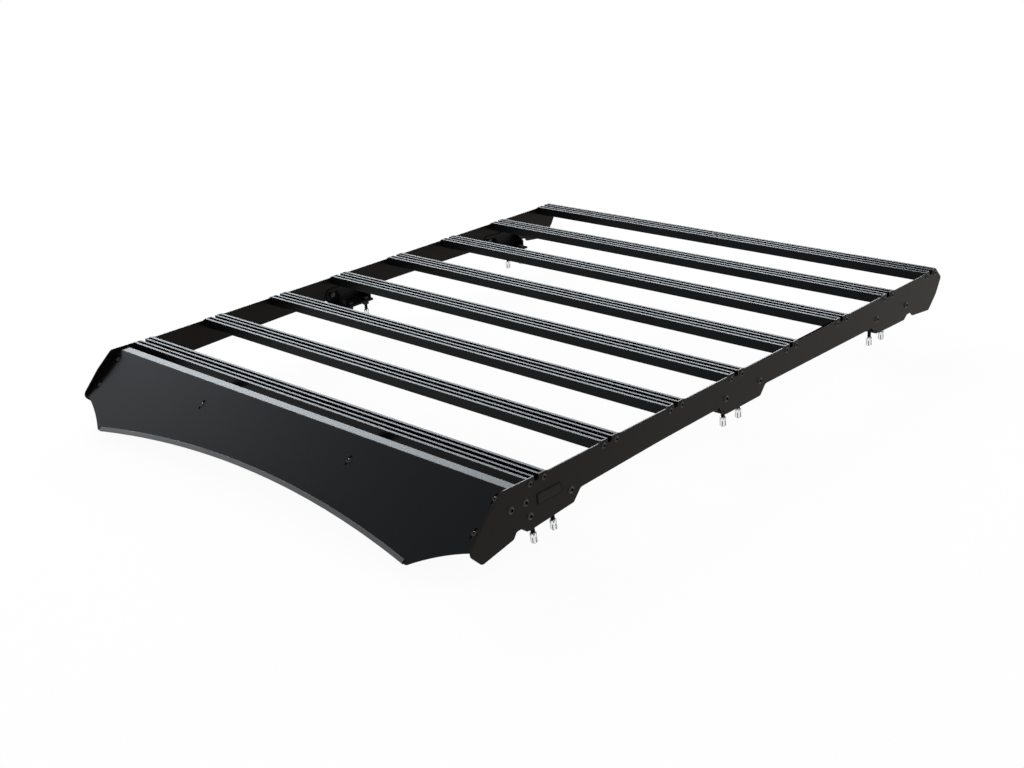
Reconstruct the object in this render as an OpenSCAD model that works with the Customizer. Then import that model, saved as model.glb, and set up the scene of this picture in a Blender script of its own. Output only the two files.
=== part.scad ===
// Flat platform roof rack: eight slotted cross slats held between two cut side plates,
// with a sloping wind deflector in front and six feet with hanging studs underneath.
// X runs across, Y from the front to the back, Z up. Places below are counted from the
// deck point: the middle of the first slat, level with the tops of its ribs.

/* [Deck] */
// Width over the outer faces of the two side plates
rack_w = 1165.4; // [700:0.1:1500]
// Number of cross slats
slat_count = 8; // [8:1:8]
// Distance from one slat to the next
slat_pitch = 182; // [175:1:195]

/* [Slat section] */
// Width of a slat over its outer ribs
slat_w = 45.8; // [44:0.1:50]
// Height of a slat
slat_h = 20; // [19.8:0.1:28]
// Width of each rib along the front and back of a slat's top
outer_rib_w = 6.1; // [5:0.1:7]
// Width of the two ribs beside the slot
inner_rib_w = 4.9; // [4.4:0.1:5.4]
// Depth of the two grooves between the ribs
groove_d = 4.6; // [1:0.1:5]
// Width of the slot's mouth, for the neck of a bolt
mouth_w = 9.2; // [8.2:0.1:10]
// Thickness of the lips that hold a bolt head down
lip_t = 3.6; // [2.8:0.1:4.2]
// Width of the channel under the lips
channel_w = 14; // [12:0.1:15]
// Height of the channel under the lips
channel_h = 7.8; // [6:0.1:8.2]
// Height of the hollow chamber below the channel
chamber_h = 5.4; // [3:0.1:5.6]
// Width of the hollow chamber below the channel
chamber_w = 22; // [12:0.1:24]
// Thickness of the slat's bottom wall
bottom_t = 2; // [1.5:0.1:2.6]

/* [Side plates] */
// Thickness of a side plate
plate_t = 3; // [2:0.1:4]
// How far the plate's top edge steps down between the slats
step_d = 2.4; // [1:0.1:4]
// Length of the raised tab on each side of a slat's middle
tab_half = 21; // [20.6:0.1:24]
// Length of the ramp at the end of a tab
ramp_l = 8; // [4:0.5:12]
// Width of the notch that opens the end of a slat's slot
notch_w = 10; // [9.2:0.1:11]
// Depth of that notch
notch_d = 9; // [4:0.1:10]
// Place of the nose's top corner in front of the first slat
nose_top = [-79, 1.5];
// Place of the blunt corner halfway down the nose's front edge
nose_knee = [-117, -30.2];
// Place of the nose's foremost corner
nose_front = [-161.7, -77.6];
// Place of the nose's lowest corner
nose_low = [-134.6, -105.4];
// Place of the corner where the nose ends in front of the first foot
nose_back = [-61, -91.4];
// Place of the relief between the nose and the first lobe
relief_low = [-53.2, -80.6];
// Place of the relief's rear corner
relief_top = [-40, -80.2];
// Place of the arched underside's highest point, from the fourth slat
arch_top = [-26, -55.4];
// Drop of the arch from that point to the front lobe
arch_drop_front = 7.3; // [2:0.1:10]
// Drop of the arch from that point to the rear lobe
arch_drop_rear = 5.4; // [2:0.1:10]
// Depth of the relief behind the rear lobe
tail_notch_z = -73; // [-78:0.1:-70]
// Corners of that relief behind the rear foot's middle
tail_notch_y = [66.1, 82.1, 90.6];
// Depth of the tail's lower edge where it starts behind the relief
tail_start_z = -82.3; // [-86:0.1:-80]
// Place of the tail's lowest corner from the last slat
tail_low = [-5, -90.1];
// Place of the bulge on the tail's rear edge from the last slat
tail_bulge = [26.5, -60.5];
// Radius of that bulge
tail_bulge_r = 60; // [10:1:80]
// Place of the tail's rearmost corner from the last slat
tail_rear = [46.6, -26.3];
// Place of the tail's top corner behind the last slat
tail_top_y = 21.3; // [21.2:0.1:30]

/* [Lobes over the feet] */
// Front and rear corner of each lobe's lower edge from its foot's middle, front to rear
lobe_front = [[-54.6, -91.2], [-54.1, -74.9], [-52.6, -79.3]];
lobe_back = [[55.4, -83.2], [55.9, -74.9], [54.4, -82.1]];
// Run of the slanted edge in front of each lobe
lobe_run_front = [14.5, 14.5, 22];
// Run of the slanted edge behind each lobe
lobe_run_back = [19, 17.5, 10.5];

/* [Feet] */
// Place of the middle of each foot, from the first, fourth and seventh slat
foot_y = [29.1, 21.1, 16.6];
// Distance between the two bolts that hold each foot to the plate
foot_bolt_gap = [99.9, 108, 120.2];
// Height of these bolts, between them
foot_bolt_z = [-61.6, -43.2, -47.9];
// Height of the flat underside of each foot, at its middle
foot_z = [-88.2, -76.4, -82];
// Tilt of each foot along the car, in degrees
foot_tilt = [4.6, 0, -1.6];
// Reach of a foot's flat flange in front of the foot's middle
flange_front = 56; // [46:0.5:58]
// Reach of that flange behind the foot's middle
flange_back = 45; // [45:0.5:58]
// Width of the flanges from the side plate inwards, front to rear foot
flange_w = [41, 41, 48];
// Thickness of the flange
flange_t = 4; // [3:0.1:6]
// Thickness of the leg that lies against the side plate
leg_t = 3; // [2:0.1:6]
// Radius of the leg's round ends about its bolts
leg_r = 14; // [10:0.1:15]
// Distance of the front end wall from the foot's middle
wall_front = 38; // [35:0.1:39]
// Distance of the rear end wall from the foot's middle
wall_back = 41; // [40.5:0.1:41.5]
// Thickness of an end wall
wall_t = 3; // [2:0.1:3.8]
// Width of an end wall from the side plate inwards
wall_w = 33; // [28:0.5:38]
// Height of an end wall's free edge above the flange
wall_h = 15; // [8:0.5:20]

/* [Studs] */
// Distance of the studs from the outer face of the side plate, front to rear foot
stud_inset = [29.5, 31.5, 38.5];
// Distance between the two studs of a foot
stud_gap = 49.3; // [44:0.1:52]
// Place of the middle of each pair of studs along the flange, from their foot's middle
stud_y = [5.2, 2, 1];
// Length of the studs below the flange, down to the ends of their sleeves
stud_l = [47.9, 41.2, 42.1];
// Diameter of the stud's thread
stud_d = 8; // [6:0.1:8.7]
// Width of a stud's hexagon head and nut over their flats
nut_w = 15; // [13:0.1:17]
// Height of the hexagon nut
nut_h = 8; // [6:0.1:9]
// Height of the hexagon head above the flange
stud_head_h = 7; // [5:0.1:9]
// Diameter of the bright sleeve on the stud's end
sleeve_d = 11.6; // [11:0.1:14]
// Length of the bright sleeve
sleeve_l = 20; // [19:0.1:26]
// Depth of the sleeve's bore that takes the end of the thread
sleeve_bore = 8; // [4:0.5:9]
// Chamfer at both ends of the sleeve
sleeve_chamfer = 1.4; // [0.5:0.1:1.7]

/* [Wind deflector] */
// Thickness of the deflector's sheet
sheet_t = 2; // [1.5:0.1:3]
// Height of the deflector's top flange
brow_z = -3.7; // [-6:0.1:-3]
// Place of the sharp bend line at the front of the flange
brow_y = -59.2; // [-62:0.1:-57]
// Depth of the top flange from the bend line backwards
brow_l = 19; // [10:0.1:22]
// Slope of the deflector below the horizontal, in degrees
face_slope = 38; // [36:0.1:41]
// Gap between the deflector's ends and the side plates
end_gap = 1.5; // [1:0.1:3]
// Length of the face down its slope, at the middle of the arch
face_mid = 131.5; // [110:0.5:140]
// Rise of the arch in the face's lower edge
face_arch = 46; // [20:0.1:55]
// Distance of the face's lowest tips from the middle
tip_x = 471; // [440:0.5:500]
// Length of the face down its slope, at its outer ends
face_end = 118.7; // [110:0.1:130]
// Radius of the hollow curve from a tip to the outer end
cut_r = 380; // [300:1:600]
// Radius of the bend between flange and face
bend_r = 3.5; // [2.5:0.1:5]
// Width of the rubber edging's lip on each side of the sheet
edging_w = 7; // [4:0.1:10]
// Thickness of the rubber edging
edging_t = 1.6; // [1:0.1:2.5]
// Distance of the edging's ends from the face's lowest tips
edging_inset = 7.5; // [6:0.1:12]
// Radius of the face's lowest tips
tip_r = 8; // [2:0.1:10]

/* [Deflector fixings] */
// Distance of the middle bolts from the centre line
mid_bolt_x = 223.5; // [150:0.5:300]
// Distance of the middle bolts down the slope
mid_bolt_s = 49.5; // [46:0.1:60]
// Distance of the end bolts from the side plate's inner face
end_bolt_inset = 16.4; // [14:0.1:22]
// Distances of the two end bolts down the slope
end_bolt_s = [22.6, 87.9];
// Width of the slots in the deflector
slot_w = 8; // [7:0.1:9]
// Length of the slots, end to end
slot_l = 21; // [14:0.1:22]
// Thickness of the brackets and stays behind the deflector
bracket_t = 3; // [2:0.1:4]
// Distance from a bracket's bolts to its edges
bracket_bolt_reach = 13; // [10:0.5:16]
// Width of the end bracket's leg behind the deflector
bracket_w = 32; // [28:0.1:45]
// Places of the two bolts that hold the end bracket to the side plate
bracket_bolts = [[-62.8, -37.9], [-29, -37.9]];
// Width of a middle stay
stay_w = 34; // [24:0.5:50]
// Reach of a stay behind its bolt, down the slope
stay_tail = 16; // [12:0.5:30]

/* [Fasteners] */
// Distance between the two bolts in each end of a slat
slat_bolt_gap = 33; // [30:0.1:33.4]
// Depth of these bolts below the rib tops
slat_bolt_z = 9.6; // [9:0.1:12]
// Thread diameter of the slat and deflector bolts
small_bolt_d = 5; // [4:0.1:5.6]
// Head diameter of the slat and deflector bolts
small_head_d = 11; // [8:0.1:12]
// Thread diameter of the foot and bracket bolts
big_bolt_d = 8; // [6:0.1:8]
// Head diameter of the foot and bracket bolts
big_head_d = 13.6; // [12:0.1:16]
// Width of the nuts of the foot and bracket bolts over their flats
plate_nut_w = 13; // [12:0.1:14]
// Length of a slat bolt's thread inside the slat
slat_bolt_l = 14; // [8:0.5:30]
// Rise of a button head as a share of its width
head_rise = 0.27; // [0.22:0.01:0.35]

/* [Name plate] */
// Length of the blank name plate
label_l = 58.5; // [30:0.5:60]
// Height of the blank name plate
label_h = 20; // [10:0.5:22]
// Thickness of the blank name plate
label_t = 1.2; // [0.8:0.1:2]
// Place of its middle on the side plate
label_at = [26.6, -43.1];

/* [Hidden] */
FEET = ["front", "middle", "rear"];
$fn = 40;

// Clearance of a bolt in its hole, on the radius
hole_gap = 0.3;
// Clearance of a thread in the slat's screw port, on the radius
port_gap = 0.1;
// Clearance of a thread in its sleeve's bore, on the radius
bore_gap = 0.02;
// Clearance between a flange and the nut and head of its studs
seat_gap = 0.05;
// Overrun of a cut past the face that it leaves
over = 1;
// Width of a bolt's socket as a share of its head's, and its floor as a share of the head's height
socket_share = 0.36;
socket_floor = 0.35;
// Largest turn of one step along a rounded corner
turn_step = 10;
inner_x = rack_w / 2 - plate_t;
outer_x = rack_w / 2;
slat_l = 2 * inner_x;
last_slat_y = (slat_count - 1) * slat_pitch;
port_r = small_bolt_d / 2 + port_gap;
small_hole_r = small_bolt_d / 2 + hole_gap;
big_hole_r = big_bolt_d / 2 + hole_gap;
slope_cos = cos(face_slope);
slope_sin = sin(face_slope);
feet_y = [foot_y[0], foot_y[1] + 3 * slat_pitch, foot_y[2] + 6 * slat_pitch];
arch_y = arch_top[0] + 3 * slat_pitch;
function lobe_back_at(i) = [feet_y[i], 0] + lobe_back[i];
function lobe_front_at(i) = [feet_y[i], 0] + lobe_front[i];
arch_front_end = lobe_back_at(0)[0] + lobe_run_back[0];
arch_rear_end = lobe_front_at(2)[0] - lobe_run_front[2];

// Height of the arched underside at a place along the plate
function arch_z(y) =
    let (front = y < arch_y)
    let (reach = front ? arch_y - arch_front_end : arch_rear_end - arch_y)
    let (drop = front ? arch_drop_front : arch_drop_rear)
    arch_top[1] - drop * pow((y - arch_y) / reach, 2);

function unit(v) = v / norm(v);
function flat(lists) = [for (l = lists) for (p = l) p];

// Points of one rounded corner between two straight edges
function corner(a, b, c, r) =
    let (u = unit(a - b), v = unit(c - b))
    let (half = acos(max(-1, min(1, u * v))) / 2)
    let (mid = b + unit(u + v) * r / sin(half))
    let (p = b + u * r / tan(half) - mid, q = b + v * r / tan(half) - mid)
    let (from = atan2(p[1], p[0]))
    let (raw = atan2(q[1], q[0]) - from)
    let (turn = raw > 180 ? raw - 360 : raw < -180 ? raw + 360 : raw)
    let (n = max(2, ceil(abs(turn) / turn_step)))
    [for (i = [0 : n]) mid + r * [cos(from + turn * i / n), sin(from + turn * i / n)]];

// Outline whose corners are given as place and radius; a radius of 0 stays sharp
function rounded(c) =
    let (n = len(c))
    flat([for (i = [0 : n - 1])
        c[i][1] == 0
            ? [c[i][0]]
            : corner(c[(i + n - 1) % n][0], c[i][0], c[(i + 1) % n][0], c[i][1])]);

// Raised tab over the end of one slat, from the front to the back
function tab(y) = [
    [[y - tab_half - ramp_l, -step_d], 3],
    [[y - tab_half, 0], 3],
    [[y - notch_w / 2, 0], 0.8],
    [[y - notch_w / 2, -notch_d], 1.5],
    [[y + notch_w / 2, -notch_d], 1.5],
    [[y + notch_w / 2, 0], 0.8],
    [[y + tab_half, 0], 3],
    [[y + tab_half + ramp_l, -step_d], 3]
];

// Corners of a lobe's lower edge, from the back to the front
function lobe(i, back_z, front_z) = [
    [[lobe_back_at(i)[0] + lobe_run_back[i], back_z], 10],
    [lobe_back_at(i), 5],
    [lobe_front_at(i), 4],
    [[lobe_front_at(i)[0] - lobe_run_front[i], front_z], 3]
];

arch_steps = 9;
function arch(from, to) = [
    for (i = [1 : arch_steps])
        let (y = from + (to - from) * i / (arch_steps + 1))
        [[y, arch_z(y)], 0]
];

front_tab = tab(0);
rear_tab = tab(last_slat_y);
tab_len = len(front_tab);
mid_lobe_back = lobe_back_at(1)[0] + lobe_run_back[1];
mid_lobe_front = lobe_front_at(1)[0] - lobe_run_front[1];
tail_at = [last_slat_y, 0];

// Corners of a side plate, along the top from the nose to the tail and back below
side_corners = concat(
    [[nose_top, 15]],
    [for (i = [2 : tab_len - 1]) front_tab[i]],
    flat([for (k = [1 : slat_count - 2]) tab(k * slat_pitch)]),
    [for (i = [0 : tab_len - 3]) rear_tab[i]],
    [[tail_at + [tail_top_y, 0], 4], [tail_at + tail_rear, 6]],
    [[tail_at + tail_bulge, tail_bulge_r], [tail_at + tail_low, 5]],
    [[[feet_y[2] + tail_notch_y[2], tail_start_z], 4]],
    [[[feet_y[2] + tail_notch_y[1], tail_notch_z], 4]],
    [[[feet_y[2] + tail_notch_y[0], tail_notch_z], 4]],
    [[lobe_back_at(2), 4], [lobe_front_at(2), 5]],
    [[[arch_rear_end, arch_z(arch_rear_end)], 3]],
    arch(arch_rear_end, mid_lobe_back),
    lobe(1, arch_z(mid_lobe_back), arch_z(mid_lobe_front)),
    arch(mid_lobe_front, arch_front_end),
    [[[arch_front_end, arch_z(arch_front_end)], 10]],
    [[lobe_back_at(0), 4], [lobe_front_at(0), 3], [relief_top, 4]],
    [[relief_low, 6], [nose_back, 5], [nose_low, 9], [nose_front, 12], [nose_knee, 40]]
);
side_outline = rounded(side_corners);

// Radius of the arch in the deflector's lower edge, and its outline points
arch_r = (tip_x * tip_x + face_arch * face_arch) / (2 * face_arch);
arch_half = asin(tip_x / arch_r);
edge_steps = 20;
function edge_point(t) =
    [arch_r * sin(arch_half * t), face_mid + arch_r * (1 - cos(arch_half * t))];
lower_edge = [for (i = [-edge_steps : edge_steps]) edge_point(i / edge_steps)];
tip = lower_edge[2 * edge_steps];

// Line that the edging follows: the lower edge without its outermost ends
function toward(a, b, d) = a + d * unit(b - a);
edging_line = [
    for (i = [0 : 2 * edge_steps])
        i == 0 ? toward(lower_edge[0], lower_edge[1], edging_inset)
        : i == 2 * edge_steps ? toward(tip, lower_edge[i - 1], edging_inset)
        : lower_edge[i]
];

// Foremost point of the deflector's edging and rearmost point of the tail
tip_s = edging_line[2 * edge_steps][1] + edging_t;
front_end_y = brow_y - slope_cos * tip_s - slope_sin * edging_t;
rear_end_y = max([for (p = side_outline) p[0]]);
mid_y = (front_end_y + rear_end_y) / 2;
deck_h = max([for (i = [0 : 2]) end_depth(i)]);

// Depth of the lowest stud end of a foot below the deck
function end_depth(i) =
    let (lean = sin(foot_tilt[i]))
    let (spread = stud_gap / 2 + sleeve_d / 2 - sleeve_chamfer)
    stud_l[i] * cos(foot_tilt[i]) - foot_z[i] - stud_y[i] * lean + spread * abs(lean);

// Puts what is counted from the deck point into the rack's own frame
module on_deck() {
    translate([0, -mid_y, deck_h])
        children();
}

// Draws what is made for the right side, on the side that is asked for
module on_side(left) {
    if (left) {
        mirror([1, 0, 0])
            children();
    } else {
        children();
    }
}

// Extrudes a shape drawn in Y and Z along X, from x0 over a length
module along_x(x0, length) {
    translate([x0, 0, 0])
        rotate([90, 0, 90])
            linear_extrude(length)
                children();
}

// Round bar along X from x0 over a length
module rod_x(x0, length, r, y, z) {
    translate([x0, y, z])
        rotate([0, 90, 0])
            cylinder(h = length, r = r);
}

// Puts a piece onto the deflector's slope: X across, Y down the slope, Z out of its face
module on_slope() {
    translate([0, brow_y, brow_z])
        rotate([face_slope, 0, 0])
            mirror([0, 1, 0])
                children();
}

// Button head bolt with a hexagon socket, its head's seat at Z 0 and its thread below
module button_bolt(head_d, thread_d, length) {
    head_h = head_d * head_rise;
    ball_r = (head_d * head_d / 4 + head_h * head_h) / (2 * head_h);
    rim = asin(head_d / 2 / ball_r);
    dome_steps = 6;
    socket_w = head_d * socket_share;
    difference() {
        union() {
            rotate_extrude()
                polygon(concat(
                    [[0, 0]],
                    [for (i = [0 : dome_steps])
                        ball_r * [sin(rim * (1 - i / dome_steps)), cos(rim * (1 - i / dome_steps))]
                            - [0, ball_r - head_h]]
                ));
            translate([0, 0, -length])
                cylinder(h = length + over / 2, r = thread_d / 2);
        }
        translate([0, 0, head_h * socket_floor])
            cylinder(h = head_h, d = socket_w, $fn = 6);
    }
}

// Bolt driven through a side plate from outside, towards the middle of the rack
module plate_bolt(y, z, head_d, thread_d, length) {
    translate([outer_x, y, z])
        rotate([0, 90, 0])
            button_bolt(head_d, thread_d, length);
}

// Places of the two bolts of a foot along a side plate
function foot_bolts(i) = [
    for (s = [-1, 1])
        [feet_y[i], foot_bolt_z[i]]
            + s * foot_bolt_gap[i] / 2 * [cos(foot_tilt[i]), sin(foot_tilt[i])]
];

module side_plate(left) {
    color("#2b2926")
        on_deck()
            on_side(left)
                difference() {
                    along_x(inner_x, plate_t)
                        polygon(side_outline);
                    for (k = [0 : slat_count - 1], s = [-1, 1])
                        rod_x(inner_x - over, plate_t + 2 * over, small_hole_r,
                            k * slat_pitch + s * slat_bolt_gap / 2, -slat_bolt_z);
                    for (i = [0 : 2], p = foot_bolts(i))
                        rod_x(inner_x - over, plate_t + 2 * over, big_hole_r, p[0], p[1]);
                    for (p = bracket_bolts)
                        rod_x(inner_x - over, plate_t + 2 * over, big_hole_r, p[0], p[1]);
                }
}

// Cut through the slat's section, centred across and from a top down to a depth
module section_cut(w, top, depth) {
    translate([-w / 2, -depth])
        square([w, depth - top]);
}

module slat_section() {
    groove_in = mouth_w / 2 + inner_rib_w;
    groove_out = slat_w / 2 - outer_rib_w;
    chamber_top = slat_h - bottom_t - chamber_h;
    difference() {
        translate([-slat_w / 2, -slat_h])
            square([slat_w, slat_h]);
        for (s = [0, 1])
            mirror([s, 0])
                translate([groove_in, -groove_d])
                    square([groove_out - groove_in, groove_d + over]);
        section_cut(mouth_w, -over, lip_t + over / 2);
        section_cut(channel_w, lip_t, lip_t + channel_h);
        section_cut(chamber_w, chamber_top, chamber_top + chamber_h);
        for (s = [-1, 1])
            translate([s * slat_bolt_gap / 2, -slat_bolt_z])
                circle(r = port_r);
    }
}

module slat(number) {
    color("#3a3d41")
        on_deck()
            translate([0, (number - 1) * slat_pitch, 0])
                along_x(-inner_x, slat_l)
                    slat_section();
}

// Hollow curve from the right tip to the outer end of the face
end_x = inner_x - end_gap;
cut_end = [end_x, face_end];
cut_chord = norm(cut_end - tip);
cut_mid = (cut_end + tip) / 2;
cut_out = unit([cut_end[1] - tip[1], tip[0] - cut_end[0]]);
cut_centre = cut_mid - cut_out * sqrt(cut_r * cut_r - cut_chord * cut_chord / 4);
cut_steps = 8;
function cut_angle(p) = atan2(p[1] - cut_centre[1], p[0] - cut_centre[0]);
end_cut = [
    for (i = [0 : cut_steps])
        let (a = cut_angle(tip) + (cut_angle(cut_end) - cut_angle(tip)) * i / cut_steps)
        cut_centre + cut_r * [cos(a), sin(a)]
];
cut_left = [for (i = [cut_steps : -1 : 0]) [-end_cut[i][0], end_cut[i][1]]];
tip_bend = corner(lower_edge[2 * edge_steps - 1], tip, end_cut[1], tip_r);

// Slot down the slope of the deflector, cut through its sheet
module face_slot(x, s) {
    reach = (slot_l - slot_w) / 2;
    translate([x, s, -sheet_t - over])
        linear_extrude(sheet_t + 2 * over)
            polygon(concat(
                [for (a = [0 : turn_step : 180]) [0, reach] + slot_w / 2 * [cos(a), sin(a)]],
                [for (a = [180 : turn_step : 360]) [0, -reach] + slot_w / 2 * [cos(a), sin(a)]]
            ));
}

// Place on the deflector's slope, in Y and Z: s down the slope, n out of its face
function slope_point(s, n) =
    [brow_y - slope_cos * s - slope_sin * n, brow_z - slope_sin * s + slope_cos * n];

// Flange, bend and face as one folded section, drawn in Y and Z
bend_back = bend_r * tan(face_slope / 2);
bend_mid = [brow_y + bend_back, brow_z - bend_r];
bend_steps = 8;
function bend_point(r, i) =
    bend_mid + r * [-sin(face_slope * i / bend_steps), cos(face_slope * i / bend_steps)];
face_full = face_mid + face_arch + over;
folded = concat(
    [[brow_y + brow_l, brow_z]],
    [for (i = [0 : bend_steps]) bend_point(bend_r, i)],
    [slope_point(face_full, 0), slope_point(face_full, -sheet_t)],
    [for (i = [bend_steps : -1 : 0]) bend_point(bend_r - sheet_t, i)],
    [[brow_y + brow_l, brow_z - sheet_t]]
);

// What is cut away below the arch and outside the two hollow curves, on the slope
waste = concat(
    [[-inner_x, face_end]],
    [for (i = [0 : cut_steps - 1]) cut_left[i]],
    [for (i = [len(tip_bend) - 1 : -1 : 0]) [-tip_bend[i][0], tip_bend[i][1]]],
    [for (i = [1 : 2 * edge_steps - 1]) lower_edge[i]],
    tip_bend,
    [for (i = [1 : cut_steps]) end_cut[i]],
    [[inner_x, face_end], [inner_x, 2 * face_full], [-inner_x, 2 * face_full]]
);

module wind_deflector() {
    color("#303236")
        on_deck()
            difference() {
                along_x(-end_x, 2 * end_x)
                    polygon(folded);
                on_slope() {
                    translate([0, 0, -sheet_t - over])
                        linear_extrude(sheet_t + 2 * over)
                            polygon(waste);
                    for (x = [-1, 1]) {
                        face_slot(x * mid_bolt_x, mid_bolt_s);
                        for (s = end_bolt_s)
                            face_slot(x * (inner_x - end_bolt_inset), s);
                    }
                }
            }
}

// Points of the edging's line moved down the slope by a distance
function edge_moved(d) = [for (p = edging_line) [p[0], p[1] + d]];

module deflector_edging() {
    seam = 0.05;
    lips = concat(edge_moved(edging_t), [for (i = [2 * edge_steps : -1 : 0]) edge_moved(-edging_w)[i]]);
    slit = concat(edge_moved(seam), [for (i = [2 * edge_steps : -1 : 0]) edge_moved(-edging_w - over)[i]]);
    color("#55585a")
        on_deck()
            on_slope()
                difference() {
                    translate([0, 0, -sheet_t - edging_t])
                        linear_extrude(sheet_t + 2 * edging_t)
                            polygon(lips);
                    translate([0, 0, -sheet_t - seam])
                        linear_extrude(sheet_t + 2 * seam)
                            polygon(slit);
                }
}

module deflector_bracket(left) {
    top_s = end_bolt_s[0] - bracket_bolt_reach;
    low_s = end_bolt_s[1] + bracket_bolt_reach;
    back = sheet_t + bracket_t;
    // Corners of the leg against the side plate, in Y and Z
    function on_back(s) =
        [brow_y - slope_cos * s + slope_sin * back, brow_z - slope_sin * s - slope_cos * back];
    function over_back(s) =
        on_back(s) + bracket_t * [-slope_sin, slope_cos];
    leg = rounded([
        [over_back(top_s), 0],
        [[bracket_bolts[1][0] + bracket_bolt_reach, bracket_bolts[1][1] + bracket_bolt_reach], 6],
        [[bracket_bolts[1][0] + bracket_bolt_reach, bracket_bolts[1][1] - bracket_bolt_reach], 8],
        [[bracket_bolts[0][0] - bracket_bolt_reach, bracket_bolts[0][1] - bracket_bolt_reach], 8],
        [on_back(low_s), 2],
        [over_back(low_s), 0]
    ]);
    color("#242526")
        on_deck()
            on_side(left)
                difference() {
                    union() {
                        along_x(inner_x - bracket_t, bracket_t)
                            polygon(leg);
                        on_slope()
                            translate([inner_x - bracket_w, top_s, -back])
                                cube([bracket_w, low_s - top_s, bracket_t]);
                    }
                    for (p = bracket_bolts)
                        rod_x(inner_x - bracket_t - over, bracket_t + 2 * over, big_hole_r, p[0], p[1]);
                    on_slope()
                        for (s = end_bolt_s)
                            translate([inner_x - end_bolt_inset, s, -back - over])
                                cylinder(h = bracket_t + 2 * over, r = small_hole_r);
                }
}

module deflector_stay(left) {
    back = sheet_t + bracket_t;
    // Length down the slope at which the stay's level strip meets its sloping strip
    knee_s = (slat_h + brow_z - back * slope_cos + bracket_t) / slope_sin;
    knee = [brow_y - slope_cos * knee_s + slope_sin * back, -slat_h - bracket_t];
    low_s = mid_bolt_s + stay_tail;
    foot = [brow_y - slope_cos * low_s + slope_sin * back, brow_z - slope_sin * low_s - slope_cos * back];
    lift = bracket_t * [-slope_sin, slope_cos];
    rise = [-bracket_t * tan(face_slope / 2), bracket_t];
    strip = [
        [slat_w / 2, -slat_h],
        [slat_w / 2, -slat_h - bracket_t],
        knee,
        foot,
        foot + lift,
        knee + rise
    ];
    color("#242526")
        on_deck()
            on_side(left)
                difference() {
                    along_x(mid_bolt_x - stay_w / 2, stay_w)
                        polygon(strip);
                    on_slope()
                        translate([mid_bolt_x, mid_bolt_s, -back - over])
                            cylinder(h = bracket_t + 2 * over, r = small_hole_r);
                }
}

module name_plate(left) {
    color("#1b1a18")
        on_deck()
            on_side(left)
                along_x(outer_x, label_t)
                    polygon(rounded([
                        [label_at + [-label_l / 2, label_h / 2], 2],
                        [label_at + [label_l / 2, label_h / 2], 2],
                        [label_at + [label_l / 2, -label_h / 2], 2],
                        [label_at + [-label_l / 2, -label_h / 2], 2]
                    ]));
}

// Frame of one foot: its middle, at the level of the flange's underside
module on_foot(i) {
    translate([inner_x, feet_y[i], foot_z[i]])
        rotate([foot_tilt[i], 0, 0])
            children();
}

// Places of a foot's two studs in its own frame
function stud_places(i) = [
    for (s = [-1, 1])
        [plate_t - stud_inset[i], stud_y[i] + s * stud_gap / 2]
];

module foot(i, left) {
    bolt_h = foot_bolt_z[i] - foot_z[i];
    // Reach of the leg's ends, round about its two bolts
    bolts_y = bolt_h * sin(foot_tilt[i]);
    reach = foot_bolt_gap[i] / 2 + leg_r;
    // Set-back of the leg's lower corners from the ends of the flange
    leg_in = 1;
    leg = rounded([
        [[bolts_y - reach, bolt_h + leg_r], leg_r],
        [[bolts_y + reach, bolt_h + leg_r], leg_r],
        [[bolts_y + reach, bolt_h - leg_r], leg_r / 2],
        [[flange_back - leg_in, 0], 3],
        [[leg_in - flange_front, 0], 3],
        [[bolts_y - reach, bolt_h - leg_r], leg_r / 2]
    ]);
    wall = [
        [0, 0],
        [wall_w, 0],
        [wall_w, flange_t + wall_h],
        [leg_t, bolt_h + leg_r / 2],
        [0, bolt_h + leg_r / 2]
    ];
    flange = rounded([
        [[-flange_w[i], -flange_front], 6],
        [[0, -flange_front], 0],
        [[0, flange_back], 0],
        [[-flange_w[i], flange_back], 6]
    ]);
    color("#202122")
        on_deck()
            on_side(left)
                difference() {
                    on_foot(i) {
                        along_x(-leg_t, leg_t)
                            polygon(leg);
                        linear_extrude(flange_t)
                            polygon(flange);
                        for (y = [-wall_front, wall_back])
                            translate([0, y + wall_t / 2, 0])
                                rotate([90, 0, 0])
                                    linear_extrude(wall_t)
                                        mirror([1, 0])
                                            polygon(wall);
                    }
                    for (p = foot_bolts(i))
                        rod_x(inner_x - leg_t - over, leg_t + 2 * over, big_hole_r, p[0], p[1]);
                    on_foot(i)
                        for (p = stud_places(i))
                            translate([p[0], p[1], -over])
                                cylinder(h = flange_t + 2 * over, r = stud_d / 2 + hole_gap);
                }
}

// Hexagon of a nut or a head, from its width over the flats
module hexagon(width, height) {
    cylinder(h = height, d = width / cos(30), $fn = 6);
}

module foot_studs(i, left) {
    thread_end = stud_l[i] - sleeve_l + sleeve_bore;
    color("#26282a")
        on_deck()
            on_side(left)
                on_foot(i)
                    for (p = stud_places(i))
                        translate([p[0], p[1], 0]) {
                            translate([0, 0, flange_t + seat_gap])
                                hexagon(nut_w, stud_head_h);
                            translate([0, 0, -nut_h - seat_gap])
                                hexagon(nut_w, nut_h);
                            translate([0, 0, -thread_end])
                                cylinder(h = thread_end + flange_t + over, r = stud_d / 2);
                        }
}

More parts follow.
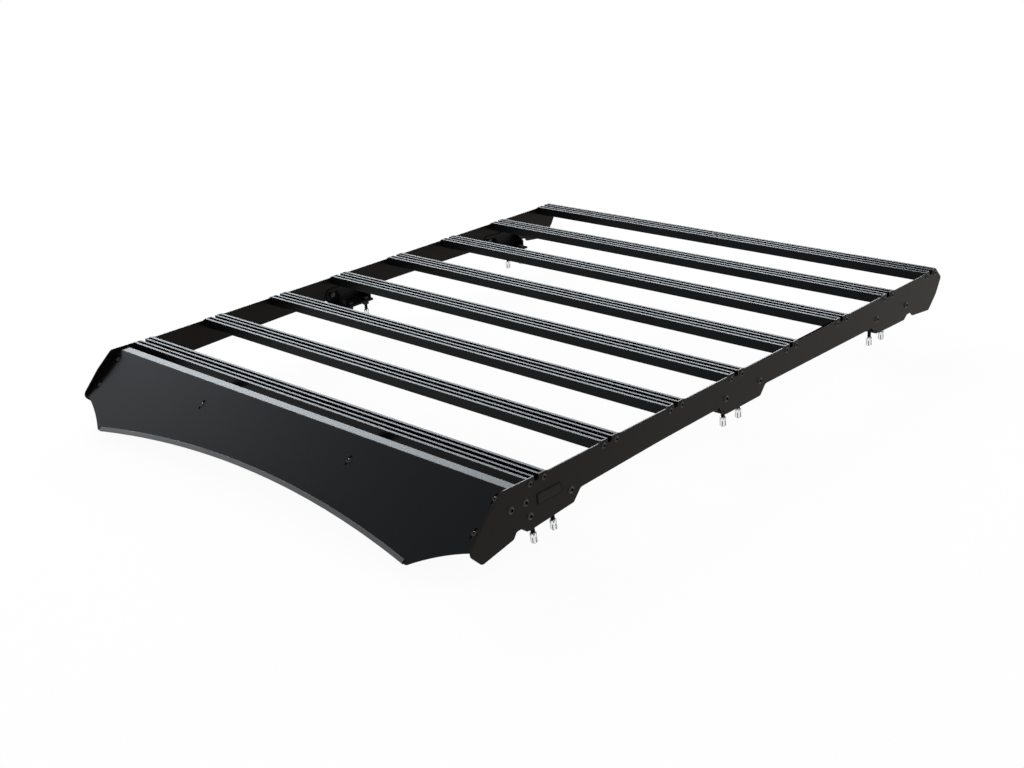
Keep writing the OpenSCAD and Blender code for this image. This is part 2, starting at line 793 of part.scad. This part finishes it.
module stud_sleeves(left) {
    bore_r = stud_d / 2 + bore_gap;
    bore_z = sleeve_l - sleeve_bore;
    color("#e8e8e8")
        on_deck()
            on_side(left)
                for (i = [0 : 2])
                    on_foot(i)
                        for (p = stud_places(i))
                            translate([p[0], p[1], -stud_l[i]])
                                rotate_extrude()
                                    polygon([
                                        [0, 0],
                                        [sleeve_d / 2 - sleeve_chamfer, 0],
                                        [sleeve_d / 2, sleeve_chamfer],
                                        [sleeve_d / 2, sleeve_l - sleeve_chamfer],
                                        [sleeve_d / 2 - sleeve_chamfer, sleeve_l],
                                        [bore_r, sleeve_l],
                                        [bore_r, bore_z],
                                        [0, bore_z]
                                    ]);
}

module slat_bolts(left) {
    color("#1f2021")
        on_deck()
            on_side(left)
                for (k = [0 : slat_count - 1], s = [-1, 1])
                    plate_bolt(k * slat_pitch + s * slat_bolt_gap / 2, -slat_bolt_z,
                        small_head_d, small_bolt_d, plate_t + slat_bolt_l);
}

module plate_bolts(left) {
    nut_t = 7;
    foot_grip = plate_t + leg_t;
    bracket_grip = plate_t + bracket_t;
    color("#1f2021")
        on_deck()
            on_side(left) {
                for (i = [0 : 2], k = [0, 1]) {
                    p = foot_bolts(i)[k];
                    plate_bolt(p[0], p[1], big_head_d, big_bolt_d, foot_grip + nut_t + 2);
                    translate([outer_x - foot_grip - nut_t, p[0], p[1]])
                        rotate([0, 90, 0])
                            hexagon(plate_nut_w, nut_t);
                }
                for (p = bracket_bolts) {
                    plate_bolt(p[0], p[1], big_head_d, big_bolt_d, bracket_grip + nut_t + 2);
                    translate([outer_x - bracket_grip - nut_t, p[0], p[1]])
                        rotate([0, 90, 0])
                            hexagon(plate_nut_w, nut_t);
                }
            }
}

module deflector_bolt(x, s) {
    grip = sheet_t + bracket_t;
    nut_t = 4.6;
    nut_af = 10;
    on_slope()
        translate([x, s, 0]) {
            button_bolt(small_head_d, small_bolt_d, grip + nut_t + 2);
            translate([0, 0, -grip - nut_t])
                hexagon(nut_af, nut_t);
        }
}

module deflector_bolts() {
    color("#1f2021")
        on_deck()
            for (x = [-1, 1]) {
                deflector_bolt(x * mid_bolt_x, mid_bolt_s);
                for (s = end_bolt_s)
                    deflector_bolt(x * (inner_x - end_bolt_inset), s);
            }
}

side_plate(true);  // side_plate_left
side_plate(false);  // side_plate_right
for (n = [1 : slat_count])
    slat(n);
wind_deflector();
deflector_edging();
deflector_bracket(true);  // deflector_bracket_left
deflector_bracket(false);  // deflector_bracket_right
deflector_stay(true);  // deflector_stay_left
deflector_stay(false);  // deflector_stay_right
name_plate(true);  // name_plate_left
name_plate(false);  // name_plate_right
for (i = [0 : 2]) {
    foot(i, true);
    foot(i, false);
    foot_studs(i, true);
    foot_studs(i, false);
}
stud_sleeves(true);  // stud_sleeves_left
stud_sleeves(false);  // stud_sleeves_right
slat_bolts(true);  // slat_bolts_left
slat_bolts(false);  // slat_bolts_right
plate_bolts(true);  // plate_bolts_left
plate_bolts(false);  // plate_bolts_right
deflector_bolts();
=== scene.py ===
import math

import bmesh
import bpy
from mathutils import Matrix, Vector


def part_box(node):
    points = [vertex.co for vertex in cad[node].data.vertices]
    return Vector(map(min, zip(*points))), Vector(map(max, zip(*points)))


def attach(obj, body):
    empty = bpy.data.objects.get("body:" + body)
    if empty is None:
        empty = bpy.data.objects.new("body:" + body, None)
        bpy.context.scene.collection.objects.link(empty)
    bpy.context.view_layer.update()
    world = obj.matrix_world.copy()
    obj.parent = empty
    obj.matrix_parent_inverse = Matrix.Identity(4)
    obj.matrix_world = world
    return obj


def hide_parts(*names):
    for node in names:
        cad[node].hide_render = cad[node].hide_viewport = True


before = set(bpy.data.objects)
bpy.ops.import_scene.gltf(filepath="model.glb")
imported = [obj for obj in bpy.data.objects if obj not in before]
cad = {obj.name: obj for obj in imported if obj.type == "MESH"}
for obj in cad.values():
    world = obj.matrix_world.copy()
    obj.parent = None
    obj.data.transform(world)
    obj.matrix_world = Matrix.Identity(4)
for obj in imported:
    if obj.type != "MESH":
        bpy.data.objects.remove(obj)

scene = bpy.context.scene
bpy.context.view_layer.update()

# Camera: it stands off the rack's front right corner, a little above the deck. Its place is
# counted from the middle of the first slat, level with the tops of that slat's ribs.
slat_low, slat_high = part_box("slat_1")
deck_point = Vector((0, (slat_low.y + slat_high.y) / 2, slat_high.z))
camera_place = deck_point + Vector((2.0201205, -1.4479086, 0.9650033))
camera_turn = Matrix((
    (0.71804823, -0.20852746, 0.66402036),
    (0.69241324, 0.31067330, -0.65118815),
    (-0.07050278, 0.92736099, 0.36746559)))
camera_data = bpy.data.cameras.new("camera")
camera_data.lens = 49.258
camera_data.sensor_width = 36
camera_data.shift_x = -0.000488
camera_data.shift_y = 0.000488
camera = bpy.data.objects.new("camera", camera_data)
scene.collection.objects.link(camera)
camera.matrix_world = Matrix.Translation(camera_place) @ camera_turn.to_4x4()
scene.camera = camera

# Studio: an even pale room on a plain pale floor. The background is white to the camera and
# in reflections, while what lights the rack stays at a plain level.
pure_white = (1, 1, 1, 1)
room_light = 0.75
floor_grey = (0.9, 0.9, 0.9, 1)
floor_half = 30
floor_drop = 0.0005
shadow_near = 1.2
shadow_far = 4.5
white_share = 0.94


def add(tree, kind, operation=None, **values):
    """A new shader node with values on its sockets. In their names _ stands for a space."""
    node = tree.nodes.new("ShaderNode" + kind)
    if operation:
        node.operation = operation
    for name, value in values.items():
        node.inputs[name.replace("_", " ")].default_value = value
    return node


def join(tree, *links):
    """Links shader nodes, each link given as a node, its output, a node and its input."""
    for source, output, target, socket in links:
        tree.links.new(source.outputs[output], target.inputs[socket])


def seen_by(tree, *rays):
    """An output that is 1 for these kinds of rays, and 0 for the rays that light things."""
    path = add(tree, "LightPath")
    seen = path.outputs[rays[0]]
    for ray in rays[1:]:
        either = add(tree, "Math", "MAXIMUM")
        tree.links.new(seen, either.inputs[0])
        tree.links.new(path.outputs[ray], either.inputs[1])
        seen = either.outputs[0]
    return seen


world = bpy.data.worlds.new("pale room")
scene.world = world
world.use_nodes = True
room = world.node_tree
room.nodes.clear()
lit = add(room, "Background", Color=pure_white, Strength=room_light)
white = add(room, "Background", Color=pure_white, Strength=1)
lit_or_white = add(room, "MixShader")
room_out = add(room, "OutputWorld")
room.links.new(seen_by(room, "Is Camera Ray", "Is Glossy Ray", "Is Transmission Ray"),
               lit_or_white.inputs[0])
join(room, (lit, 0, lit_or_white, 1), (white, 0, lit_or_white, 2),
     (lit_or_white, 0, room_out, "Surface"))

# The floor shows white, but near the rack a small share of it takes light and shadow.
floor_material = bpy.data.materials.new("pale floor")
floor_material.use_nodes = True
ground = floor_material.node_tree
ground.nodes.clear()
spot = add(ground, "TexCoord")
away = add(ground, "VectorMath", "LENGTH")
fade = add(ground, "MapRange", From_Min=shadow_near, From_Max=shadow_far,
           To_Min=white_share, To_Max=1)
share = add(ground, "Math", "MULTIPLY")
paint = add(ground, "BsdfDiffuse", Color=floor_grey)
glow = add(ground, "Emission", Color=pure_white, Strength=1)
paint_or_glow = add(ground, "MixShader")
ground_out = add(ground, "OutputMaterial")
ground.links.new(seen_by(ground, "Is Camera Ray", "Is Glossy Ray"), share.inputs[0])
join(ground, (spot, "Object", away, 0), (away, "Value", fade, "Value"),
     (fade, "Result", share, 1), (share, 0, paint_or_glow, 0), (paint, 0, paint_or_glow, 1),
     (glow, 0, paint_or_glow, 2), (paint_or_glow, 0, ground_out, "Surface"))
floor_mesh = bpy.data.meshes.new("floor")
floor_mesh.from_pydata(
    [(x * floor_half, y * floor_half, -floor_drop)
     for x, y in ((-1, -1), (1, -1), (1, 1), (-1, 1))],
    [], [(0, 1, 2, 3)])
floor_mesh.materials.append(floor_material)
floor = bpy.data.objects.new("floor", floor_mesh)
scene.collection.objects.link(floor)


def soft_box(name, place, target, width, height, power, colour):
    """A wide soft lamp that the camera doesn't see."""
    lamp = bpy.data.lights.new(name, "AREA")
    lamp.shape = "RECTANGLE"
    lamp.size, lamp.size_y = width, height
    lamp.energy = power
    lamp.color = colour
    holder = bpy.data.objects.new(name, lamp)
    scene.collection.objects.link(holder)
    holder.location = place
    holder.rotation_euler = (Vector(target) - Vector(place)).to_track_quat("-Z", "Y").to_euler()
    holder.visible_camera = False


soft_box("back light", (-3.05, 2.5, 1.82), (0, 0, 0.14),
         width=4.7, height=0.9, power=235, colour=(0.88, 0.95, 1))
soft_box("left light", (-3.9, -1.15, 2.15), (-0.2, -0.5, 0.1),
         width=1.5, height=1.3, power=17, colour=(0.84, 0.92, 1))
soft_box("warm light", (3.4, 3.6, 0.55), (0.6, 0.7, 0.1),
         width=2.4, height=0.8, power=22, colour=(1, 0.80, 0.62))
scene.view_settings.view_transform = "Standard"

# Side plates: laser-cut steel sheet, 3 mm thick, with a satin black powder coat that eases
# every cut edge. The slats' bolts and the feet's bolts go through their round holes.
sides = ("left", "right")
weld = 2e-6
flat_within = math.radians(0.6)
cloud_scale = 14
gloss_spread = 0.04


def coat(name, colour, rough, specular, tint=(1, 1, 1), grain=0.0011, depth=0.00002,
         mottle=0.12, stretch=1):
    """Powder coat: a fine pebbled skin, a little uneven in colour and in gloss.

    Tint colours its gleam. Grain and depth are the width and height of its pebbles, mottle
    is how far its colour varies, and stretch draws its grain out along X."""
    material = bpy.data.materials.new(name)
    material.use_nodes = True
    tree = material.node_tree
    shader = tree.nodes["Principled BSDF"]
    shader.inputs["Specular IOR Level"].default_value = specular
    shader.inputs["Specular Tint"].default_value = (*tint, 1)
    where = add(tree, "TexCoord")
    drawn = add(tree, "Mapping", Scale=(1 / stretch, 1, 1))
    cloud = add(tree, "TexNoise", Scale=cloud_scale, Detail=6)
    speck = add(tree, "TexNoise", Scale=0.6 / grain, Detail=3)
    ramp = add(tree, "ValToRGB")
    dark, light = ramp.color_ramp.elements
    dark.position, light.position = 0.3, 0.7
    dark.color = (*[part * (1 - mottle) for part in colour], 1)
    light.color = (*[part * (1 + mottle) for part in colour], 1)
    gloss = add(tree, "MapRange", To_Min=rough - gloss_spread, To_Max=rough + gloss_spread)
    bump = add(tree, "Bump", Strength=0.5, Distance=depth)
    join(tree, (where, "Object", drawn, "Vector"), (drawn, "Vector", cloud, "Vector"),
         (drawn, "Vector", speck, "Vector"), (cloud, "Fac", ramp, "Fac"),
         (ramp, "Color", shader, "Base Color"), (speck, "Fac", gloss, "Value"),
         (gloss, "Result", shader, "Roughness"), (speck, "Fac", bump, "Height"),
         (bump, "Normal", shader, "Normal"))
    return material


def fitted(mesh, node, materials, crisp):
    """Puts a finished mesh in its CAD node's place. Edges over crisp degrees stay crisp."""
    for material in materials:
        mesh.materials.append(material)
    for face in mesh.polygons:
        face.use_smooth = True
    mesh.set_sharp_from_angle(angle=math.radians(crisp))
    piece = bpy.data.objects.new(mesh.name, mesh)
    scene.collection.objects.link(piece)
    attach(piece, "root")
    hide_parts(node)
    return piece


def eased(node, material, ending="_coated", ease=0.0004, steps=2, blunt=30):
    """The cut part with its sharp edges eased, as its coat leaves them.

    Edges over blunt degrees are rounded by so many metres, in so many steps."""
    mesh = bpy.data.meshes.new(node + ending)
    shell = bmesh.new()
    shell.from_mesh(cad[node].data)
    bmesh.ops.remove_doubles(shell, verts=shell.verts, dist=weld)
    bmesh.ops.dissolve_limit(shell, angle_limit=flat_within, use_dissolve_boundaries=False,
                             verts=shell.verts, edges=shell.edges, delimit=set())
    shell.to_mesh(mesh)
    shell.free()
    piece = fitted(mesh, node, [material], crisp=50)
    edge = piece.modifiers.new("eased edges", "BEVEL")
    edge.width = ease
    edge.segments = steps
    edge.limit_method = "ANGLE"
    edge.angle_limit = math.radians(blunt)
    edge.use_clamp_overlap = False
    edge.harden_normals = False
    even = piece.modifiers.new("even faces", "WEIGHTED_NORMAL")
    even.keep_sharp = True


plate_coat = coat("plate coat", (0.0030, 0.0022, 0.0016), 0.34, 0.11, tint=(1, 0.90, 0.80))
for side in sides:
    eased("side_plate_" + side, plate_coat)

# Cross slats: aluminium extrusions with two grooves and a bolt slot along the top, coated
# satin black. Their ends butt against the side plates and take two bolts each.
slat_coat = coat("slat coat", (0.0030, 0.0032, 0.0036), 0.37, 0.08, tint=(0.90, 0.95, 1),
                 grain=0.0012, depth=0.000006, stretch=30)
for number in range(1, 9):
    eased("slat_%d" % number, slat_coat, ease=0.0003)

# Wind deflector: one aluminium sheet with a folded top flange, arched below and slotted for
# its bolts, in a smoother semi-gloss black coat.
deflector_coat = coat("deflector coat", (0.0024, 0.0025, 0.0027), 0.33, 0.07,
                      tint=(0.90, 0.95, 1), depth=0.000006)
eased("wind_deflector", deflector_coat, blunt=40)

# Rubber edging: a dark grey U profile, pushed onto the arched lower edge of the deflector
# and bent along with it. It keeps the bare edge of the sheet off the roof.
rubber = coat("edging rubber", (0.052, 0.053, 0.056), 0.42, 0.34, grain=0.0006, mottle=0.2)
eased("deflector_edging", rubber, ending="_rounded", ease=0.0007, steps=3)

# Brackets and stays: folded steel behind the deflector, bolted to the side plates and to
# the first slat, with the same black coat as the feet.
bracket_coat = coat("bracket coat", (0.0040, 0.0041, 0.0044), 0.42, 0.11, grain=0.0013)
for side in sides:
    eased("deflector_bracket_" + side, bracket_coat)
    eased("deflector_stay_" + side, bracket_coat)

# Feet: bent and welded steel brackets against the plates' inner faces. Each has a flat
# flange for its two studs, closed by an end wall in front and behind.
foot_lean = {"front": math.radians(4.6), "middle": 0.0, "rear": math.radians(-1.6)}
for side in sides:
    for station in foot_lean:
        eased("foot_%s_%s" % (station, side), bracket_coat)

# Name plates: thin black plates stuck onto the side plates, left bare. A fine groove runs
# round just inside their edge, and their corners are rounded.
corner = 0.002
corner_steps = 6
least_bend = 0.0004
plaque_ease = 0.0002
groove_start = 0.0009
groove_end = 0.0024
groove_side = 0.0001
groove_deep = 0.0005


def skin(shell, place, rings, finish=0):
    """Adds a closed skin through rings of points, from the lowest ring to the highest."""
    rows = [[shell.verts.new(place @ Vector(p)) for p in points] for points in rings]
    count = len(rows[0])
    for low, high in zip(rows, rows[1:]):
        for k in range(count):
            after = (k + 1) % count
            face = shell.faces.new((low[k], low[after], high[after], high[k]))
            face.material_index = finish
    shell.faces.new(rows[0][::-1]).material_index = finish
    shell.faces.new(rows[-1]).material_index = finish


def made(shell, node, ending, materials):
    """Closes a mesh in the making and puts it in its CAD node's place."""
    bmesh.ops.recalc_face_normals(shell, faces=shell.faces)
    mesh = bpy.data.meshes.new(node + ending)
    shell.to_mesh(mesh)
    shell.free()
    fitted(mesh, node, materials, crisp=32)


def rounded(half_long, half_high, bend, height):
    """Points round a rectangle whose corners are bent."""
    points = []
    for quarter, (along, across) in enumerate(((1, 1), (-1, 1), (-1, -1), (1, -1))):
        for step in range(corner_steps + 1):
            angle = math.pi / 2 * (quarter + step / corner_steps)
            points.append((along * (half_long - bend) + bend * math.cos(angle),
                           across * (half_high - bend) + bend * math.sin(angle), height))
    return points


plaque_coat = coat("plaque black", (0.0030, 0.0024, 0.0018), 0.32, 0.12,
                   grain=0.0005, depth=0.000004)
for side, out in zip(sides, (-1, 1)):
    low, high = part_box("name_plate_" + side)
    middle = (low + high) / 2
    half_long, half_high = (high.y - low.y) / 2, (high.z - low.z) / 2
    thick = high.x - low.x
    back_face = low.x if out > 0 else high.x
    place = Matrix.Translation((back_face, middle.y, middle.z)) @ Matrix(
        ((0, 0, out), (out, 0, 0), (0, 1, 0))).to_4x4()
    outline = (
        (0, 0), (0, thick - plaque_ease), (plaque_ease, thick), (groove_start, thick),
        (groove_start + groove_side, thick - groove_deep),
        (groove_end - groove_side, thick - groove_deep), (groove_end, thick))
    shell = bmesh.new()
    skin(shell, place, [
        rounded(half_long - inset, half_high - inset, max(corner - inset, least_bend), height)
        for inset, height in outline])
    made(shell, "name_plate_" + side, "_bordered", [plaque_coat])

# Studs: threaded steel studs that hang from the flanges. Each has a hexagon head above its
# flange, and a washer and a chamfered nut below it, all plated black.
around = 48
stud_radius = 0.004
stud_pitch = 0.00125
stud_flats = 0.015
shank_radius = 0.97 * stud_radius
shank_lap = 0.001
head_high = 0.007
nut_high = 0.008
washer_thick = 0.0016
washer_ease = 0.0002
washer_radius = 0.54 * stud_flats
washer_face = 0.53 * stud_flats
flange_thick = 0.004
seat_gap = 0.00005


def solids(node):
    """The points of each separate solid of a CAD node."""
    shell = bmesh.new()
    shell.from_mesh(cad[node].data)
    bmesh.ops.remove_doubles(shell, verts=shell.verts, dist=weld)
    done = set()
    groups = []
    for start in shell.verts:
        if start in done:
            continue
        done.add(start)
        group, waiting = [], [start]
        while waiting:
            vert = waiting.pop()
            group.append(vert.co.copy())
            for link in vert.link_edges:
                other = link.other_vert(vert)
                if other not in done:
                    done.add(other)
                    waiting.append(other)
        groups.append(group)
    shell.free()
    return groups


def on_axis(points, axis):
    """Where a round solid stands, with Z along its axis from its low end, and its length."""
    up = Vector(axis).normalized()
    across = Vector((0, 1, 0)) if abs(up.x) > 0.9 else Vector((1, 0, 0))
    third = up.cross(across)
    spans = [[f(p.dot(way) for p in points) for f in (min, max)] for way in (across, third, up)]
    foot = across * sum(spans[0]) / 2 + third * sum(spans[1]) / 2 + up * spans[2][0]
    turn = Matrix((across, third, up)).transposed()
    return Matrix.Translation(foot) @ turn.to_4x4(), spans[2][1] - spans[2][0]


def leaning(lean):
    """The direction of an axis whose top leans so many radians towards the front."""
    return 0, -math.sin(lean), math.cos(lean)


def ring(radius, height, count=around):
    """Points round an axis. Radius and height are numbers, or change with the angle."""
    points = []
    for k in range(count):
        angle = 2 * math.pi * k / count
        far = radius(angle) if callable(radius) else radius
        high = height(angle) if callable(height) else height
        points.append((far * math.cos(angle), far * math.sin(angle), high))
    return points


def hexagon(flats):
    """Distance of a hexagon's side from its middle, at an angle."""
    return lambda angle: flats / 2 / math.cos((angle + math.pi / 6) % (math.pi / 3) - math.pi / 6)


def nut(shell, place, flats, low, high, both=True):
    """Hexagon nut or bolt head. Its corners are turned off at 30 degrees, at both ends."""
    side = hexagon(flats)
    slant = math.tan(math.radians(30))
    face = 0.475 * flats

    def top(angle):
        return high - (side(angle) - face) * slant

    def bottom(angle):
        return low + (side(angle) - face) * slant if both else low
    skin(shell, place, [ring(face, low), ring(side, bottom), ring(side, top), ring(face, high)])


def thread(shell, place, radius, low, high, pitch):
    """Screw thread as a helical ridge, with a chamfered lower end."""
    rings_a_turn = 6
    points_a_ring = 24
    depth = 0.54 * pitch
    rings = [ring(radius - depth, low, points_a_ring)]
    for k in range(1, int((high - low) / pitch * rings_a_turn)):
        height = low + k * pitch / rings_a_turn

        def flank(angle, height=height):
            turn = (height / pitch - angle / (2 * math.pi)) % 1
            return radius - depth * abs(2 * turn - 1)
        rings.append(ring(flank, height, points_a_ring))
    skin(shell, place, rings)


stud_black = coat("stud black", (0.004, 0.0041, 0.0043), 0.30, 0.2, grain=0.0007, depth=0.000008)
for station, lean in foot_lean.items():
    for side in sides:
        node = "studs_%s_%s" % (station, side)
        shell = bmesh.new()
        for points in solids(node):
            place, head_top = on_axis(points, leaning(lean))
            head_low = head_top - head_high
            flange_low = head_low - seat_gap - flange_thick - seat_gap
            washer_low = flange_low - washer_thick
            nut_low = flange_low - nut_high
            nut(shell, place, stud_flats, head_low, head_top, both=False)
            skin(shell, place, [
                ring(washer_face, washer_low), ring(washer_radius, washer_low + washer_ease),
                ring(washer_radius, flange_low - washer_ease), ring(washer_face, flange_low)])
            nut(shell, place, stud_flats, nut_low, washer_low)
            thread(shell, place, stud_radius, 0, nut_low + shank_lap, stud_pitch)
            skin(shell, place, [ring(shank_radius, flange_low - shank_lap),
                                ring(shank_radius, head_low + shank_lap)])
        made(shell, node, "_threaded", [stud_black])

# Stud sleeves: bright plated sleeves screwed onto the studs' ends. They are slit from both
# ends, so that they spread and grip in the roof's sockets.
sleeve_around = 96
sleeve_radius = 0.0058
sleeve_chamfer = 0.0014
sleeve_end = sleeve_radius - sleeve_chamfer
sleeve_bore = 0.00402
bore_deep = 0.008
slits = 6
half_gap = math.pi / slits
first_slit = math.radians(-63.6)
slit_wide = math.radians(10)
slit_deep = 0.0016
slit_run_out = 0.0003
low_slits_end = 0.6
high_slits_start = 0.78

chrome = bpy.data.materials.new("sleeve chrome")
chrome.use_nodes = True
tree = chrome.node_tree
shader = tree.nodes["Principled BSDF"]
shader.inputs["Metallic"].default_value = 1
shader.inputs["Base Color"].default_value = (0.80, 0.805, 0.81, 1)
# The edge tint is near black, so the sleeve darkens towards its outline where it is seen at a
# slant: a painted dark reflection.
shader.inputs["Specular Tint"].default_value = (0.02, 0.02, 0.02, 1)
where = add(tree, "TexCoord")
turned = add(tree, "Mapping", Scale=(1, 1, 40))
scratch = add(tree, "TexNoise", Scale=90, Detail=4)
gloss = add(tree, "MapRange", To_Min=0.05, To_Max=0.16)
join(tree, (where, "Object", turned, "Vector"), (turned, "Vector", scratch, "Vector"),
     (scratch, "Fac", gloss, "Value"), (gloss, "Result", shader, "Roughness"))
# The slits' walls and floors take a near black, dull finish: painted shade in the cuts, as the
# sleeve is bright plated all through.
slit_painted_shade = coat("slit painted shade", (0.004, 0.004, 0.004), 0.5, 0.1, grain=0.0005, depth=0.000004)


def slit_round(radius, offset):
    """Radius of a sleeve with slits, at an angle. The offset turns the slits."""
    def far(angle):
        turn = (angle - first_slit - offset + half_gap) % (2 * half_gap) - half_gap
        return radius - slit_deep if abs(turn) < slit_wide / 2 else radius
    return far


def nearest_station(points, side):
    """Which foot the sleeve hangs under."""
    middle = sum(p.y for p in points) / len(points)

    def gap(station):
        low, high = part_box("foot_%s_%s" % (station, side))
        return abs(middle - (low.y + high.y) / 2)
    return min(foot_lean, key=gap)


for side in sides:
    node = "stud_sleeves_" + side
    shell = bmesh.new()
    for points in solids(node):
        lean = foot_lean[nearest_station(points, side)]
        place, length = on_axis(points, leaning(lean))
        low_slit, high_slit = low_slits_end * length, high_slits_start * length
        shoulder = length - sleeve_chamfer
        skin(shell, place, [ring(radius, height, sleeve_around) for radius, height in (
            (slit_round(sleeve_end, 0), 0),
            (slit_round(sleeve_radius, 0), sleeve_chamfer),
            (slit_round(sleeve_radius, 0), low_slit),
            (sleeve_radius, low_slit + slit_run_out),
            (sleeve_radius, high_slit - slit_run_out),
            (slit_round(sleeve_radius, half_gap), high_slit),
            (slit_round(sleeve_radius, half_gap), shoulder),
            (sleeve_end, length), (sleeve_bore, length), (sleeve_bore, length - bore_deep))])
        # Faces inside the slits take the second material, the painted shade.
        back = place.inverted()
        for face in shell.faces:
            spot = back @ face.calc_center_median()
            far = math.hypot(spot.x, spot.y)
            in_slit = sleeve_end / 2 < far < sleeve_radius - 0.4 * slit_deep
            if in_slit and sleeve_chamfer < spot.z < shoulder:
                face.material_index = 1
    made(shell, node, "_slit", [chrome, slit_painted_shade])

# Slat bolts and plate bolts: black steel button head bolts with hexagon sockets, driven from
# outside through the side plates. The thin ones screw into the slats' ends. The thick ones
# hold the feet and the deflector's brackets, each with a nut on the inside.
head_rise = 0.27
head_ease = 0.0001
rim_share = 0.12
dome_steps = 7
socket_share = 0.42
mouth_share = 0.62
mouth_deep = 0.0003
floor_share = 0.3
pit_share = 0.3
thin_radius, thin_pitch = 0.0025, 0.0008
thick_radius, thick_pitch = 0.004, 0.00125
plate_nut_flats = 0.013
plate_nut_low = 0.013
plate_nut_top = 0.006
bolt_black = coat("bolt black", (0.005, 0.0049, 0.0048), 0.18, 0.36, grain=0.0008, depth=0.000006)
# The sockets keep the bolts' own black, made darker and duller than the heads as painted shade in
# the recess.
socket_black_and_shade = coat("socket black and painted shade", (0.002, 0.002, 0.002), 0.5, 0.05, grain=0.0008, depth=0.000004)


def button(shell, place, seat, width, radius, pitch):
    """Button head bolt whose thread runs from its low end up to the seat of its head."""
    rise = width * head_rise
    crown = rise - rim_share * rise
    ball = (width * width / 4 + crown ** 2) / (2 * crown)
    socket = width * socket_share
    mouth = socket * mouth_share
    edge = math.asin(width / 2 / ball)
    last = math.asin(mouth / ball)
    rows = [(radius, seat), (width / 2 - head_ease, seat), (width / 2, seat + head_ease)]
    for step in range(dome_steps):
        turn = edge + (last - edge) * step / dome_steps
        rows.append((ball * math.sin(turn), seat + rise - ball * (1 - math.cos(turn))))
    top = seat + rise - ball * (1 - math.cos(last))
    socket_top = top - mouth_deep
    socket_floor = seat + rise * floor_share
    rows += [(mouth, top), (hexagon(socket), socket_top)]
    skin(shell, place, [ring(far, height) for far, height in rows])
    # The socket's walls and floor take the second material: the bolt's black with painted shade.
    skin(shell, place, [ring(hexagon(socket), socket_top),
                        ring(hexagon(socket), socket_floor + head_ease),
                        ring(socket * pit_share, socket_floor)], finish=1)
    thread(shell, place, radius, 0, seat, pitch)


for side, out in zip(sides, (-1, 1)):
    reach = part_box("side_plate_" + side)[out > 0].x * out
    for group, width, radius, pitch in (("slat", 0.011, thin_radius, thin_pitch),
                                        ("plate", 0.0136, thick_radius, thick_pitch)):
        node = "%s_bolts_%s" % (group, side)
        shell = bmesh.new()
        for points in solids(node):
            place, _ = on_axis(points, (out, 0, 0))
            seat = reach - place.translation.x * out
            button(shell, place, seat, width, radius, pitch)
            if group == "plate":
                nut(shell, place, plate_nut_flats, seat - plate_nut_low, seat - plate_nut_top)
        made(shell, node, "_domed", [bolt_black, socket_black_and_shade])

# Deflector bolts: the same thin black steel bolts, square to the sloping face. They go through
# its slots and the bracket or stay behind it, and a nut holds each one at the back.
face_slope = math.radians(38)
deflector_head = 0.0095
deflector_grip = 0.005
deflector_tail = 0.0066
deflector_nut_flats = 0.010
deflector_nut_high = 0.0046
shell = bmesh.new()
for points in solids("deflector_bolts"):
    place, _ = on_axis(points, leaning(face_slope))
    seat = deflector_grip + deflector_tail
    button(shell, place, seat, deflector_head, thin_radius, thin_pitch)
    nut(shell, place, deflector_nut_flats,
        seat - deflector_grip - deflector_nut_high, seat - deflector_grip)
made(shell, "deflector_bolts", "_domed", [bolt_black, socket_black_and_shade])
